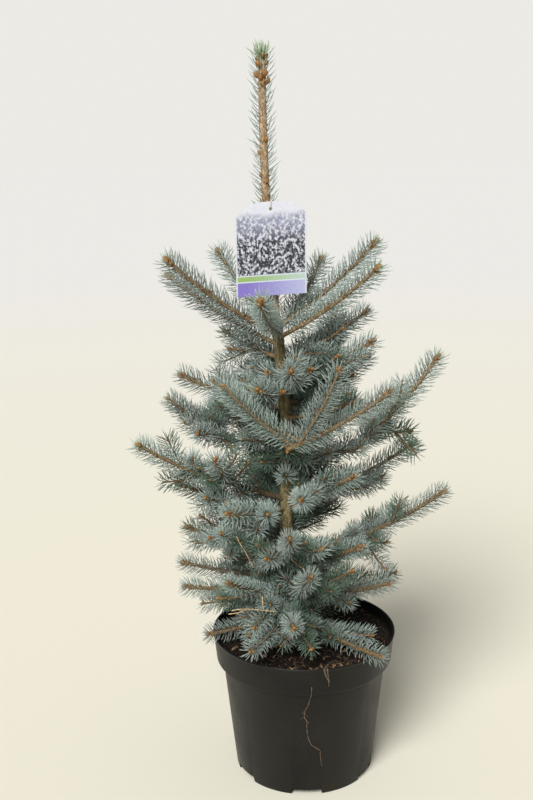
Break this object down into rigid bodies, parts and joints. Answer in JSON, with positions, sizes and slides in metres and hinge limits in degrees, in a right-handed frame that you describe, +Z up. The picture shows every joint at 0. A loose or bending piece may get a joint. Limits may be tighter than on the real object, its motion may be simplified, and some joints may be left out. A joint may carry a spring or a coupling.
{
  "type": "potted blue spruce",
  "caption": "Young blue spruce in a black nursery pot, with blue-green needles, a tall leader and a picture label tied to it.",
  "frame": {"origin": "On the ground under the middle of the pot, in the plane of the flat middle of the pot's underside.", "axes": "+Z up along the trunk, +X to the right as the picture shows the plant, +Y away from the viewer."},
  "size_m": [0.4728, 0.3325, 1.09],
  "materials": {
    "pot_plastic": "matte",
    "compost": "rough",
    "bark": "rough",
    "needle_blue_green": "waxy",
    "tag_card": "glossy",
    "tie_plastic": "satin"
  },
  "bodies": {
    "root": {"pot": "pot_plastic", "soil": "compost", "trunk": "bark", "tag": "tag_card", "tag_tie": "tie_plastic", "bough_middle_1": "bark", "bough_middle_2": "bark", "bough_middle_3": "bark", "bough_middle_4": "bark", "bough_middle_5": "bark", "bough_middle_6": "bark", "bough_lower_1": "bark", "bough_lower_2": "bark", "bough_lower_3": "bark", "bough_lower_4": "bark", "needles_leader": "needle_blue_green", "needles_top_1": "needle_blue_green", "needles_top_2": "needle_blue_green", "needles_top_3": "needle_blue_green", "needles_top_4": "needle_blue_green", "needles_top_5": "needle_blue_green", "needles_top_6": "needle_blue_green", "needles_top_7": "needle_blue_green", "needles_upper_1": "needle_blue_green", "needles_upper_2": "needle_blue_green", "needles_upper_3": "needle_blue_green", "needles_upper_4": "needle_blue_green", "needles_upper_5": "needle_blue_green", "needles_upper_6": "needle_blue_green", "needles_upper_7": "needle_blue_green", "needles_upper_8": "needle_blue_green", "needles_upper_9": "needle_blue_green", "needles_upper_10": "needle_blue_green", "needles_upper_11": "needle_blue_green", "needles_middle_1": "needle_blue_green", "needles_middle_2": "needle_blue_green", "needles_middle_3": "needle_blue_green", "needles_middle_4": "needle_blue_green", "needles_middle_5": "needle_blue_green", "needles_middle_6": "needle_blue_green", "needles_middle_7": "needle_blue_green", "needles_middle_8": "needle_blue_green", "needles_middle_9": "needle_blue_green", "needles_middle_10": "needle_blue_green", "needles_middle_11": "needle_blue_green", "needles_lower_1": "needle_blue_green", "needles_lower_2": "needle_blue_green", "needles_lower_3": "needle_blue_green", "needles_lower_4": "needle_blue_green", "needles_lower_5": "needle_blue_green", "needles_lower_6": "needle_blue_green", "needles_bottom_1": "needle_blue_green", "needles_bottom_2": "needle_blue_green", "needles_bottom_3": "needle_blue_green", "needles_bottom_4": "needle_blue_green", "needles_bottom_5": "needle_blue_green", "needles_bottom_6": "needle_blue_green", "needles_bottom_7": "needle_blue_green", "needles_bottom_8": "needle_blue_green", "needles_bottom_9": "needle_blue_green"}
  },
  "joints": []
}
